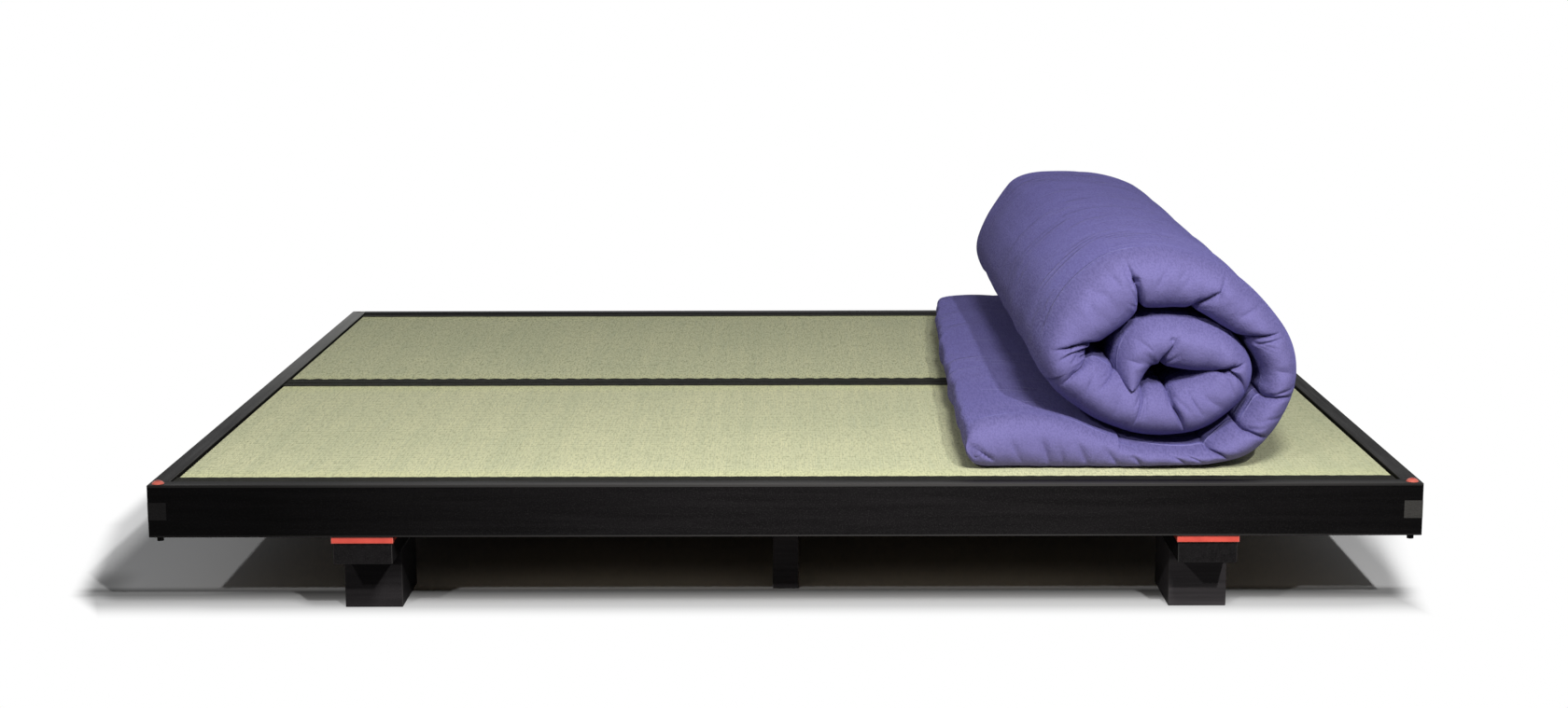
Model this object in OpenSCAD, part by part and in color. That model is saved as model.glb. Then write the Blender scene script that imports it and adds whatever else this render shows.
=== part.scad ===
// Low platform bed: a pinned wooden frame on six feet, two rush mats with cloth
// borders, and a thick cotton mattress rolled up on the right-hand end.
// Millimetres, +Z up. The origin is on the floor under the middle of the bed,
// +X runs along its length and the front faces -Y.

/* [Mats] */
// Length of one mat
mat_l = 2000; // [1800:10:2200]
// Width of one mat
mat_w = 900; // [800:10:1000]
// Thickness of one mat
mat_t = 55; // [40:1:70]
// Thickness of the woven rush cover
cover_t = 2.5; // [1.5:0.5:5]
// Width of the cloth border on the mat's top face
border_w = 30; // [20:1:50]
// Width of the border's turn-in under the mat
border_under = 20; // [10:1:40]
// Thickness of the border cloth
border_t = 1; // [0.5:0.5:3]
// Gap between a mat's end and the rail
mat_end_gap = 3; // [1:0.5:8]
// Gap beside each mat and between the two
mat_side_gap = 2; // [1:0.5:6]
// How far the mats lie below the top of the rails
mat_drop = 2; // [0:0.5:8]

/* [Rails] */
// Thickness of the rails
rail_t = 30; // [26:1:45]
// Width of the small bevel along the edges of the lacquered wood
arris = 1; // [0.5:0.5:2]
// Height of the tenon that shows in the front face
tenon_h = 29; // [20:1:40]
// Gap all round a tenon
tenon_gap = 0.2; // [0.1:0.1:1]
// Width of the ledge that carries the slats
ledge_w = 25; // [20:1:40]
// Height of the ledge that carries the slats
ledge_h = 15; // [12:1:25]

/* [Corner pins] */
// Diameter of the pin
pin_d = 11; // [8:0.5:14]
// Clearance around the pin, on the radius
pin_fit = 0.1; // [0.05:0.05:0.3]
// Length of pin that shows below the rail
pin_end = 8; // [2:1:20]
// Diameter of the domed red head of a front pin
head_d = 20.5; // [17:0.5:26]
// Height of the domed red head
head_h = 5.5; // [4.5:0.5:9]
// Length of pin inside the head
spigot_l = 2.5; // [1:0.5:3]

/* [Feet] */
// Distance from the bed's end to the middle of a foot
foot_inset = 345; // [250:5:450]
// Width of a foot block
foot_w = 96; // [70:1:130]
// Depth of a foot block, front to back
foot_d = 152; // [120:1:220]
// Height of a foot block
foot_h = 98; // [60:1:160]
// Distance from the bed's front face to a foot block
foot_setback = 100; // [60:1:200]
// Width of a cross beam
cross_w = 96; // [70:1:130]
// Height of a cross beam
cross_h = 35; // [25:1:60]
// Distance from the bed's front face to a cross beam's end
cross_setback = 8; // [0:1:12]
// Width of a red pad
pad_w = 101; // [80:1:140]
// Height of a red pad
pad_h = 12; // [6:1:20]
// Distance from the bed's front face to a red pad
pad_setback = 4; // [0:1:10]

/* [Centre support] */
// Width of the centre beam and its legs
leg_w = 44; // [30:1:80]
// Depth of a centre leg, front to back
leg_d = 60; // [30:1:100]
// Distance from the bed's front face to a centre leg
leg_setback = 214; // [120:1:400]
// Width of the long bearer under the seam
bearer_w = 60; // [50:1:100]
// Gap between the bearer's end and the rail
bearer_gap = 1; // [0.5:0.5:5]

/* [Slats] */
// Number of slats under each mat
slat_count = 13; // [8:1:16]
// Width of a slat
slat_w = 70; // [50:1:90]
// Thickness of a slat
slat_t = 15; // [12:1:25]
// Gap at each end of a slat
slat_gap = 1; // [0.5:0.5:4]
// Distance from the side rail to the first slat
slat_margin = 12; // [2:1:40]
// Width of a strap that spaces the slats
strap_w = 25; // [15:1:40]
// Thickness of a strap
strap_t = 1.5; // [1:0.5:3]
// Distance from a slat's end to the strap's middle
strap_inset = 180; // [100:5:300]

/* [Screws] */
// Diameter of a screw's shank
screw_d = 5; // [3.5:0.5:6]
// Diameter of a screw's head
screw_head_d = 9.5; // [8:0.5:11]
// Height of a screw's head
screw_head_h = 3; // [2:0.5:4]
// Gap around a screw
screw_fit = 0.1; // [0.05:0.05:0.2]
// How far a long screw bites into the wood behind
screw_bite = 26; // [15:1:30]
// How far a ledge screw bites into the rail
ledge_bite = 9; // [6:0.5:10]
// Number of screws in each ledge
ledge_screws = 7; // [4:1:9]
// Distance from a ledge's end to its first screw
ledge_screw_inset = 100; // [60:5:140]
// Distance between the two screws of a pad or a foot block
screw_spread = 50; // [30:1:60]

/* [Mattress] */
// Thickness of the mattress where nothing presses on it
futon_t = 90; // [70:5:110]
// Width of the mattress, along the roll
futon_w = 1600; // [1200:10:1600]
// Distance from the bed's right-hand end to the mattress's loose end
futon_inset = 713; // [680:1:900]
// Distance from the bed's front face to the mattress
futon_setback = 118; // [60:1:200]

/* [Hidden] */
$fn = 64;
eps = 1;

// lengths in plan
bed_l = mat_l + 2 * (mat_end_gap + rail_t);
bed_w = 2 * mat_w + 3 * mat_side_gap + 2 * rail_t;
inner_l = bed_l - 2 * rail_t;
inner_w = bed_w - 2 * rail_t;
front_y = -bed_w / 2;
mat_y = (mat_w + mat_side_gap) / 2;
foot_x = bed_l / 2 - foot_inset;
pin_x = bed_l / 2 - rail_t / 2;
pin_y = bed_w / 2 - rail_t / 2;
leg_y = bed_w / 2 - leg_setback - leg_d / 2;
foot_y = bed_w / 2 - foot_setback - foot_d / 2;
futon_x = bed_l / 2 - futon_inset;

// heights, from the floor up
beam_z = foot_h;
beam_top = beam_z + cross_h;
rail_z = beam_top + pad_h;
slat_z = rail_z + ledge_h;
mat_z = slat_z + slat_t;
mat_top = mat_z + mat_t;
rail_top = mat_top + mat_drop;
rail_h = rail_top - rail_z;
tenon_z = rail_z + (rail_h - tenon_h) / 2;
bearer_h = slat_z - beam_top;
pad_l = rail_t + ledge_w - pad_setback;

// slats
slat_l = (inner_w - 4 * slat_gap) / 2;
slat_y = slat_l / 2 + slat_gap;
slat_pitch = (inner_l - 2 * slat_margin - slat_w) / (slat_count - 1);
strap_l = inner_l - 2 * slat_margin;

// screws: the shank below the head
beam_screw_l = cross_h - screw_head_h + screw_bite;
rail_screw_l = cross_h + pad_h - screw_head_h + screw_bite;
bearer_screw_l = bearer_h - screw_head_h + screw_bite;
ledge_screw_l = ledge_w - screw_head_h + ledge_bite;
ledge_pitch = (inner_l - 2 * ledge_screw_inset) / (ledge_screws - 1);

black = [0.09, 0.09, 0.09];
red = [0.80, 0.22, 0.17];
rush = [0.74, 0.75, 0.60];
cloth = [0.13, 0.13, 0.11];
straw = [0.72, 0.62, 0.40];
pine = [0.80, 0.66, 0.46];
webbing = [0.85, 0.83, 0.76];
steel = [0.70, 0.70, 0.68];
cotton = [0.48, 0.45, 0.68];

// A block standing on z = 0, centred in plan
module block(size) {
    translate([-size.x / 2, -size.y / 2, 0])
        cube(size);
}

// Rectangle with its corners cut off
module eased_outline(size) {
    half = size / 2;
    polygon([
        for (p = [[1, -1], [1, 1], [-1, 1], [-1, -1]], cut = [0, 1])
            let (first = p.x * p.y < 0 ? cut == 0 : cut == 1)
                [p.x * (half.x - (first ? arris : 0)), p.y * (half.y - (first ? 0 : arris))]
    ]);
}

// A block like the one above with all its edges bevelled
module eased_block(size) {
    intersection() {
        linear_extrude(size.z)
            eased_outline([size.x, size.y]);
        translate([-size.x / 2, 0, size.z / 2])
            rotate([90, 0, 90])
                linear_extrude(size.x)
                    eased_outline([size.y, size.z]);
        translate([0, size.y / 2, size.z / 2])
            rotate([90, 0, 0])
                linear_extrude(size.y)
                    eased_outline([size.x, size.z]);
    }
}

// Flat-headed screw, its head's top at the origin and its shank towards -Z
module screw(shank_l, fit = 0) {
    translate([0, 0, -screw_head_h - fit])
        cylinder(h = screw_head_h + fit, d = screw_head_d + 2 * fit);
    translate([0, 0, -screw_head_h - shank_l - fit])
        cylinder(h = shank_l + eps, d = screw_d + 2 * fit);
}

// The room that a screw needs, open above its head
module screw_hole(shank_l) {
    screw(shank_l, screw_fit);
    cylinder(h = eps, d = screw_head_d + 2 * screw_fit);
}

// Where the screws go: two through each end of a cross beam into the rail above,
// two into each foot block, one into each centre leg, three down through the bearer
// and a row through each ledge
module at_pad_screws(x) {
    for (side = [-1, 1], dx = [-0.5, 0.5] * screw_spread)
        translate([x + dx, side * pin_y, beam_z])
            mirror([0, 0, 1])
                children();
}

module at_foot_screws(x) {
    for (side = [-1, 1], dy = [-0.5, 0.5] * screw_spread)
        translate([x, side * foot_y + dy, beam_top])
            children();
}

module at_leg_screws() {
    for (side = [-1, 1])
        translate([0, side * leg_y, beam_top])
            children();
}

module at_bearer_screws(xs = [-foot_x, 0, foot_x]) {
    for (x = xs)
        translate([x, 0, slat_z])
            children();
}

module at_ledge_screws(side) {
    for (i = [0:ledge_screws - 1])
        translate([
            -inner_l / 2 + ledge_screw_inset + i * ledge_pitch,
            side * (inner_w / 2 - ledge_w),
            rail_z + ledge_h / 2
        ])
            rotate([side * 90, 0, 0])
                children();
}

// Front or rear rail: forked at both ends for the side rails' tenons, with a
// vertical bore for the pin through each fork
module long_rail(side) {
    color(black)
        difference() {
            translate([0, side * pin_y, rail_z])
                eased_block([bed_l, rail_t, rail_h]);
            for (end = [-1, 1]) {
                translate([
                    end * (bed_l / 2 - rail_t / 2 + eps / 2),
                    side * pin_y,
                    tenon_z - tenon_gap
                ])
                    block([rail_t + eps + 2 * tenon_gap, rail_t + 2 * eps, tenon_h + 2 * tenon_gap]);
                translate([end * pin_x, side * pin_y, 0])
                    pin_bore();
            }
            for (x = [-foot_x, foot_x])
                at_pad_screws(x)
                    screw_hole(rail_screw_l);
            at_ledge_screws(side)
                screw_hole(ledge_screw_l);
        }
}

// Side rail: butts against the long rails, its tenons flush with their outer faces
module side_rail(side) {
    color(black)
        difference() {
            union() {
                translate([side * pin_x, 0, rail_z])
                    eased_block([rail_t, inner_w, rail_h]);
                translate([side * pin_x, 0, tenon_z])
                    block([rail_t, bed_w, tenon_h]);
            }
            for (end = [-1, 1])
                translate([side * pin_x, end * pin_y, 0])
                    pin_bore();
        }
}

module pin_bore() {
    translate([0, 0, rail_z - eps])
        cylinder(h = rail_h + 2 * eps, d = pin_d + 2 * pin_fit);
}

// Corner pin: a plain rod from just below the rail. The front ones run on up into
// their heads; the rear ones have no head and end flush with the rail
module corner_pin(side_x, side_y) {
    in_head = side_y < 0 ? spigot_l : 0;
    color(black)
        translate([side_x * pin_x, side_y * pin_y, rail_z - pin_end])
            cylinder(h = pin_end + rail_h + in_head, d = pin_d);
}

// Domed head of a front pin: a slice of a sphere that rests on the rail, bored for
// the pin's end
module pin_head(side_x) {
    dome_r = (head_d * head_d / 4 + head_h * head_h) / (2 * head_h);
    color(red)
        translate([side_x * pin_x, -pin_y, rail_top])
            difference() {
                intersection() {
                    translate([0, 0, head_h - dome_r])
                        sphere(r = dome_r);
                    cylinder(h = head_h, d = head_d);
                }
                translate([0, 0, -eps])
                    cylinder(h = spigot_l + eps, d = pin_d + 2 * pin_fit);
            }
}

// Ledge inside a long rail, on which the slats' outer ends lie
module ledge(side) {
    color(pine)
        difference() {
            translate([0, side * (inner_w - ledge_w) / 2, rail_z])
                block([inner_l, ledge_w, ledge_h]);
            at_ledge_screws(side)
                screw_hole(ledge_screw_l);
        }
}

module ledge_screw_set() {
    color(steel)
        for (side = [-1, 1])
            at_ledge_screws(side)
                screw(ledge_screw_l);
}

// Cross beam: lies on two foot blocks and carries both long rails
module cross_beam(side) {
    color(black)
        difference() {
            translate([side * foot_x, 0, beam_z])
                eased_block([cross_w, bed_w - 2 * cross_setback, cross_h]);
            at_pad_screws(side * foot_x)
                screw_hole(rail_screw_l);
            at_foot_screws(side * foot_x)
                screw_hole(beam_screw_l);
            at_bearer_screws([side * foot_x])
                screw_hole(bearer_screw_l);
        }
}

// Foot block under a cross beam
module foot(side_x, side_y) {
    color(black)
        difference() {
            translate([side_x * foot_x, side_y * foot_y, 0])
                eased_block([foot_w, foot_d, foot_h]);
            at_foot_screws(side_x * foot_x)
                screw_hole(beam_screw_l);
        }
}

module foot_screw_set() {
    color(steel)
        for (side = [-1, 1])
            at_foot_screws(side * foot_x)
                screw(beam_screw_l);
}

// Red pad between a cross beam's end and the rail
module pad(side_x, side_y) {
    color(red)
        difference() {
            translate([
                side_x * foot_x,
                side_y * (bed_w / 2 - pad_setback - pad_l / 2),
                beam_top
            ])
                eased_block([pad_w, pad_l, pad_h]);
            at_pad_screws(side_x * foot_x)
                screw_hole(rail_screw_l);
        }
}

module rail_screw_set() {
    color(steel)
        for (side = [-1, 1])
            at_pad_screws(side * foot_x)
                screw(rail_screw_l);
}

// Centre beam across the bed, on two legs
module centre_beam() {
    color(black)
        difference() {
            translate([0, 0, beam_z])
                eased_block([leg_w, bed_w - 2 * leg_setback, cross_h]);
            at_leg_screws()
                screw_hole(beam_screw_l);
            at_bearer_screws([0])
                screw_hole(bearer_screw_l);
        }
}

module centre_leg(side) {
    color(black)
        difference() {
            translate([0, side * leg_y, 0])
                eased_block([leg_w, leg_d, foot_h]);
            at_leg_screws()
                screw_hole(beam_screw_l);
        }
}

module leg_screw_set() {
    color(steel)
        at_leg_screws()
            screw(beam_screw_l);
}

// Bearer under the seam between the mats, on which the slats' inner ends lie
module seam_bearer() {
    color(pine)
        difference() {
            translate([0, 0, beam_top])
                block([inner_l - 2 * bearer_gap, bearer_w, bearer_h]);
            at_bearer_screws()
                screw_hole(bearer_screw_l);
        }
}

module bearer_screw_set() {
    color(steel)
        at_bearer_screws()
            screw(bearer_screw_l);
}

// Row of slats under one mat
module slats(side) {
    color(pine)
        for (i = [0:slat_count - 1])
            translate([(i - (slat_count - 1) / 2) * slat_pitch, side * slat_y, slat_z])
                block([slat_w, slat_l, slat_t]);
}

// Two straps stapled under the slats, which keep their spacing
module slat_straps(side) {
    color(webbing)
        for (dy = [-1, 1] * (slat_l / 2 - strap_inset))
            translate([0, side * slat_y + dy, slat_z - strap_t])
                block([strap_l, strap_w, strap_t]);
}

// Pressed core of a mat
module mat_core(side) {
    color(straw)
        translate([0, side * mat_y, mat_z + border_t])
            block([mat_l - 2 * cover_t, mat_w - 2 * border_t, mat_t - 2 * border_t - cover_t]);
}

// Rush cover: lies over the core and turns down over both its ends
module mat_cover(side) {
    cover_h = mat_t - 2 * border_t;
    color(rush)
        translate([0, side * mat_y, mat_z + border_t])
            difference() {
                block([mat_l, mat_w - 2 * border_t, cover_h]);
                translate([0, 0, -eps])
                    block([mat_l - 2 * cover_t, mat_w, cover_h - cover_t + eps]);
            }
}

// Cloth border: folded over one long edge, from the top face to the underside.
// outward is -1 for an edge that faces the front and 1 for one that faces the rear.
module mat_border(side, outward) {
    edge_y = side * mat_y + outward * mat_w / 2;
    color(cloth)
        translate([-mat_l / 2, edge_y, mat_z])
            rotate([90, 0, 90])
                linear_extrude(mat_l)
                    polygon([
                        for (p = [
                            [0, 0],
                            [border_under, 0],
                            [border_under, border_t],
                            [border_t, border_t],
                            [border_t, mat_t - border_t],
                            [border_w, mat_t - border_t],
                            [border_w, mat_t],
                            [0, mat_t]
                        ])
                            [-outward * p.x, p.y]
                    ]);
}

// Middle line of the rolled mattress, seen from the front and counted in its own
// thicknesses: distance from the loose end, height above the mat, and how thick the
// mattress is there. It lies flat, turns up at the right, and winds in for two turns.
futon_path = [
    [0.1, 0.45, 0.45],
    [0.45, 0.5, 0.9],
    [1.2, 0.5, 1],
    [2.1, 0.35, 0.7],
    [3, 0.25, 0.45],
    [3.9, 0.25, 0.45],
    [4.6, 0.35, 0.55],
    [5.15, 0.75, 0.65],
    [5.45, 1.35, 0.65],
    [5.4, 2, 0.75],
    [5.15, 2.6, 0.85],
    [4.55, 3.15, 0.95],
    [3.8, 3.45, 1.1],
    [2.85, 3.45, 1.1],
    [2, 3.05, 1.1],
    [1.6, 2.35, 1.1],
    [1.8, 1.65, 1.1],
    [2.5, 1.2, 1.05],
    [3.25, 1.05, 0.95],
    [4, 1.2, 0.95],
    [4.45, 1.6, 0.85],
    [4.4, 2.05, 0.75],
    [4, 2.4, 0.7],
    [3.45, 2.45, 0.7],
    [3, 2.25, 0.65],
    [2.8, 1.95, 0.45]
];
futon_steps = 4;
futon_last = len(futon_path) - 1;

// Smooth curve through the path: the point at share u of the way from point i on
function path_at(i) = futon_path[min(max(i, 0), futon_last)] * futon_t;
function curve_at(i, u) =
    let (a = path_at(i - 1), b = path_at(i), c = path_at(i + 1), d = path_at(i + 2))
        b + ((c - a) * u + (2 * a - 5 * b + 4 * c - d) * u * u
            + (3 * b - a - 3 * c + d) * u * u * u) / 2;

futon_line = [
    for (i = [0:futon_last - 1], k = [0:futon_steps - 1])
        curve_at(i, k / futon_steps),
    path_at(futon_last)
];

// One face of the mattress: the middle line moved sideways by half the thickness, and
// pressed flat where it lies on the mat
function futon_face(side) = [
    for (i = [0:len(futon_line) - 1])
        let (
            before = futon_line[max(i - 1, 0)],
            after = futon_line[min(i + 1, len(futon_line) - 1)],
            along = [after.x - before.x, after.y - before.y],
            across = [-along.y, along.x] / norm(along),
            point = [futon_line[i].x, futon_line[i].y] + side * across * futon_line[i].z / 2
        )
            [point.x, max(point.y, 0)]
];

function reversed(points) = [for (i = [len(points) - 1:-1:0]) points[i]];

// Rolled mattress: the outline above the mats, drawn out along the roll
module futon() {
    color(cotton)
        translate([futon_x, front_y + futon_setback + futon_w, mat_top])
            rotate([90, 0, 0])
                linear_extrude(futon_w)
                    polygon(concat(futon_face(1), reversed(futon_face(-1))));
}

long_rail(-1);  // front_rail
long_rail(1);  // rear_rail
side_rail(-1);  // left_rail
side_rail(1);  // right_rail
corner_pin(-1, -1);  // pin_front_left
corner_pin(1, -1);  // pin_front_right
corner_pin(-1, 1);  // pin_rear_left
corner_pin(1, 1);  // pin_rear_right
pin_head(-1);  // pin_head_front_left
pin_head(1);  // pin_head_front_right
ledge(-1);  // front_ledge
ledge(1);  // rear_ledge
ledge_screw_set();
cross_beam(-1);  // left_cross_beam
cross_beam(1);  // right_cross_beam
foot(-1, -1);  // foot_front_left
foot(1, -1);  // foot_front_right
foot(-1, 1);  // foot_rear_left
foot(1, 1);  // foot_rear_right
foot_screw_set();
pad(-1, -1);  // pad_front_left
pad(1, -1);  // pad_front_right
pad(-1, 1);  // pad_rear_left
pad(1, 1);  // pad_rear_right
rail_screw_set();
centre_beam();
centre_leg(-1);  // centre_leg_front
centre_leg(1);  // centre_leg_rear
leg_screw_set();
seam_bearer();
bearer_screw_set();
slats(-1);  // front_slats
slats(1);  // rear_slats
slat_straps(-1);  // front_slat_straps
slat_straps(1);  // rear_slat_straps
mat_core(-1);  // front_mat_core
mat_cover(-1);  // front_mat_cover
mat_border(-1, -1);  // front_mat_outer_border
mat_border(-1, 1);  // front_mat_inner_border
mat_core(1);  // rear_mat_core
mat_cover(1);  // rear_mat_cover
mat_border(1, 1);  // rear_mat_outer_border
mat_border(1, -1);  // rear_mat_inner_border
futon();
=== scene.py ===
import math

import bmesh
import bpy
import numpy as np
from mathutils import Matrix, Vector, noise


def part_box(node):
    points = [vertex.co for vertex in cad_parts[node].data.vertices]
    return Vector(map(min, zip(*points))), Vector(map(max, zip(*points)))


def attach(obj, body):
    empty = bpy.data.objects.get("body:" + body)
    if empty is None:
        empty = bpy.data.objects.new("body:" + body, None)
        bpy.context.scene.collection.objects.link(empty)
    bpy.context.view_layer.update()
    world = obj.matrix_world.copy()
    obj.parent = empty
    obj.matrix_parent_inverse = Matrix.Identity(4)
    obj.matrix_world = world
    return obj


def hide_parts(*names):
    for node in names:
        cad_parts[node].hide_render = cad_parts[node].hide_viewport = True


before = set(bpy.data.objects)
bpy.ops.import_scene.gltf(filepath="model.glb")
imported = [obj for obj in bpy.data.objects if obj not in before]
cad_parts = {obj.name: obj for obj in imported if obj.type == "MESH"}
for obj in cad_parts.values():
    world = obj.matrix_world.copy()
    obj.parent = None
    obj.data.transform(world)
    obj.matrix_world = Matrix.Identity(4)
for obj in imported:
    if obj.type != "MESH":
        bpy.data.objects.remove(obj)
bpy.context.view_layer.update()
scene = bpy.context.scene


# Studio: a pale floor with painted shadow, toned by place, a pale surround and three lamps
# in front of the bed. They stand where the photograph's shadows put them: a large soft one just
# right of the middle, and two small ones further off, a faint one left and a stronger one right.

def add_node(tree, kind, inputs=None, **settings):
    """A shader node with its settings made and its sockets set or joined."""
    made = tree.nodes.new("ShaderNode" + kind)
    for key, value in settings.items():
        setattr(made, key, value)
    for key, value in (inputs or {}).items():
        if isinstance(value, bpy.types.NodeSocket):
            tree.links.new(value, made.inputs[key])
        else:
            made.inputs[key].default_value = value
    return made


def add_math(tree, operation, first, *others):
    """What math nodes make of the values, taken in turn where there are more than two."""
    if not others:
        return add_node(tree, "Math", {0: first}, operation=operation).outputs[0]
    for other in others:
        first = add_node(tree, "Math", {0: first, 1: other}, operation=operation).outputs[0]
    return first


def map_range(tree, value, low, high, to_low=0.0, to_high=1.0, kind="LINEAR"):
    """The value's place between low and high, moved to between to_low and to_high."""
    return add_node(
        tree, "MapRange",
        {"Value": value, "From Min": low, "From Max": high, "To Min": to_low, "To Max": to_high},
        interpolation_type=kind,
    ).outputs["Result"]


def soft_step(tree, value, begin, end, height=1.0):
    """0 as far as begin, height from end on, and a soft change between them."""
    return map_range(tree, value, begin, end, 0.0, height, "SMOOTHSTEP")


def own_place(tree):
    """Each point's place in its piece's own frame."""
    return add_node(tree, "TexCoord").outputs["Object"]


def split_axes(tree, vector):
    return add_node(tree, "SeparateXYZ", {0: vector}).outputs


def mix_shaders(tree, share, first, second):
    return add_node(tree, "MixShader", {0: share, 1: first.outputs[0], 2: second.outputs[0]})


def seen_directly(tree):
    """1 for rays that show the surround itself: straight, mirrored or through glass."""
    path = add_node(tree, "LightPath").outputs
    return add_math(
        tree, "MAXIMUM",
        path["Is Glossy Ray"], path["Is Transmission Ray"], path["Is Camera Ray"],
    )


white = (1.0, 1.0, 1.0, 1.0)
surround = bpy.data.worlds.new("studio_surround")
surround.use_nodes = True
scene.world = surround
tree = surround.node_tree
tree.nodes.clear()
soft_light = add_node(tree, "Background", {"Color": (0.95, 0.97, 1.0, 1.0), "Strength": 0.085})
white_wall = add_node(tree, "Background", {"Color": white, "Strength": 1.0})
both = mix_shaders(tree, seen_directly(tree), soft_light, white_wall)
add_node(tree, "OutputWorld", {"Surface": both.outputs[0]})

floor_paint = bpy.data.materials.new("studio_floor")
floor_paint.use_nodes = True
tree = floor_paint.node_tree
tree.nodes.clear()
floor_x, floor_y = split_axes(tree, own_place(tree))[:2]


def behind_line(tree, y, line, slope, most):
    """How far a place lies behind a line across the floor, sloped and held under a limit."""
    sloped = add_math(tree, "MULTIPLY", add_math(tree, "SUBTRACT", y, line), slope)
    return add_math(tree, "MINIMUM", sloped, most)


# round the bed the floor turns white, from the first of each two lines to the second:
# both sides splay out towards the rear, and the left one bends in towards the front
left_lines, right_lines = (-1.18, -1.228), (1.03, 1.095)
front_lines, rear_lines = (-0.765, -0.905), (1.0, 2.3)
splay = behind_line(tree, floor_y, line=-0.745, slope=0.16, most=0.08)
bend = behind_line(tree, floor_y, line=-0.76, slope=0.5, most=0.0)
beyond = add_math(
    tree, "MAXIMUM",
    soft_step(tree, add_math(tree, "ADD", floor_x, splay, bend), *left_lines),
    soft_step(tree, add_math(tree, "SUBTRACT", floor_x, splay), *right_lines),
    soft_step(tree, floor_y, *front_lines),
    soft_step(tree, floor_y, *rear_lines),
)

# painted shadow: the floor is painted greyer along the front feet, except beside the bed
feet_rear, feet_front = -0.70, -0.90
plain_tone, beside_tone = 0.93, 0.37
painted_shadow_band = add_node(tree, "ValToRGB", {"Fac": map_range(tree, floor_y, feet_rear, feet_front)})
ramp = painted_shadow_band.color_ramp
ramp.elements.remove(ramp.elements[1])
ramp.elements[0].color = (plain_tone, plain_tone, plain_tone, 1.0)
for position, tone in ((0.175, 0.20), (0.325, 0.48), (0.45, 0.51), (0.65, 0.30)):
    ramp.elements.new(position).color = (tone, tone, tone, 1.0)
off_centre = add_math(tree, "ABSOLUTE", floor_x)
beside = map_range(tree, off_centre, 0.72, 1.0, 0.0, beside_tone)
tone = add_math(tree, "MAXIMUM", painted_shadow_band.outputs["Color"], beside)

# and painted shade makes it darker between the feet, and at the left tip of the bed's shadow
painted_between_depth, painted_tip_depth = 0.55, 0.33
between = add_math(
    tree, "MULTIPLY",
    soft_step(tree, off_centre, 0.76, 0.66, painted_between_depth), soft_step(tree, floor_y, -0.69, -0.52),
)
painted_tip_shade = add_math(
    tree, "MULTIPLY", soft_step(tree, floor_x, -1.12, -1.18),
    soft_step(tree, floor_y, -0.56, -0.68), soft_step(tree, floor_y, -0.742, -0.722), painted_tip_depth,
)
painted_floor_shade = add_math(tree, "SUBTRACT", 1.0, between, painted_tip_shade)
lit_floor = add_node(tree, "BsdfDiffuse", {"Color": add_math(tree, "MULTIPLY", tone, painted_floor_shade)})

# what the floor throws back onto the bed is dimmer than what the camera sees of it
dim_floor = add_node(tree, "BsdfDiffuse", {"Color": (0.17, 0.17, 0.17, 1.0)})
camera_ray = add_node(tree, "LightPath").outputs["Is Camera Ray"]
near_floor = mix_shaders(tree, camera_ray, dim_floor, lit_floor)
far_floor = add_node(tree, "Emission", {"Color": white, "Strength": 1.0})
far_share = add_math(tree, "MULTIPLY", beyond, seen_directly(tree))
whole_floor = mix_shaders(tree, far_share, near_floor, far_floor)
add_node(tree, "OutputMaterial", {"Surface": whole_floor.outputs[0]})

floor_half = 9.0
floor_drop = 0.0004        # just under the feet
floor_mesh = bpy.data.meshes.new("studio_floor")
floor_mesh.from_pydata(
    [(x * floor_half, y * floor_half, -floor_drop) for x, y in ((-1, -1), (1, -1), (1, 1), (-1, 1))],
    [], [(0, 1, 2, 3)],
)
floor_mesh.materials.append(floor_paint)
studio_floor = bpy.data.objects.new("studio_floor", floor_mesh)
scene.collection.objects.link(studio_floor)


def add_lamp(name, place, aim, width, watts):
    lamp = bpy.data.lights.new(name, "AREA")
    lamp.shape = "DISK"
    lamp.size = width
    lamp.energy = watts
    stand = bpy.data.objects.new(name, lamp)
    stand.location = place
    stand.rotation_mode = "QUATERNION"
    stand.rotation_quaternion = (Vector(aim) - Vector(place)).to_track_quat("-Z", "Y")
    stand.visible_camera = False
    scene.collection.objects.link(stand)


add_lamp("lamp_main", (0.58, -2.99, 2.24), aim=(0.1, -0.5, 0.2), width=0.55, watts=88)
add_lamp("lamp_right", (1.39, -4.86, 3.0), aim=(0.0, -0.4, 0.2), width=0.14, watts=150)
add_lamp("lamp_left", (-2.17, -5.34, 3.0), aim=(0.0, -0.4, 0.2), width=0.14, watts=74)

# the camera: a little above the bed, looking slightly down
eye = (0.0178, -4.7665, 1.1006)
pitch, yaw, tilt = 0.1692, -0.0020, -0.0024
forward = Vector((math.sin(yaw) * math.cos(pitch), math.cos(yaw) * math.cos(pitch), -math.sin(pitch)))
level = Vector((math.cos(yaw), -math.sin(yaw), 0.0))
upward = level.cross(forward)
right = math.cos(tilt) * level + math.sin(tilt) * upward
upward = math.cos(tilt) * upward - math.sin(tilt) * level
lens = bpy.data.cameras.new("camera")
lens.lens = 55.733
lens.sensor_width = 36.0
lens.shift_x = -0.00432
lens.clip_end = 60.0
camera = bpy.data.objects.new("camera", lens)
camera.matrix_world = Matrix.Translation(eye) @ Matrix((right, upward, -forward)).transposed().to_4x4()
scene.collection.objects.link(camera)
scene.camera = camera
scene.view_settings.view_transform = "Standard"


# Rails: four planks of hardwood, stained and sprayed satin black. The long rails
# are forked at both ends, and the side rails' tenons pass through the forks.

def new_finish(name, roughness, specular):
    """A material, its node tree and its shader."""
    finish = bpy.data.materials.new(name)
    finish.use_nodes = True
    shader = finish.node_tree.nodes["Principled BSDF"]
    shader.inputs["Roughness"].default_value = roughness
    shader.inputs["Specular IOR Level"].default_value = specular
    return finish, finish.node_tree, shader


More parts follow.
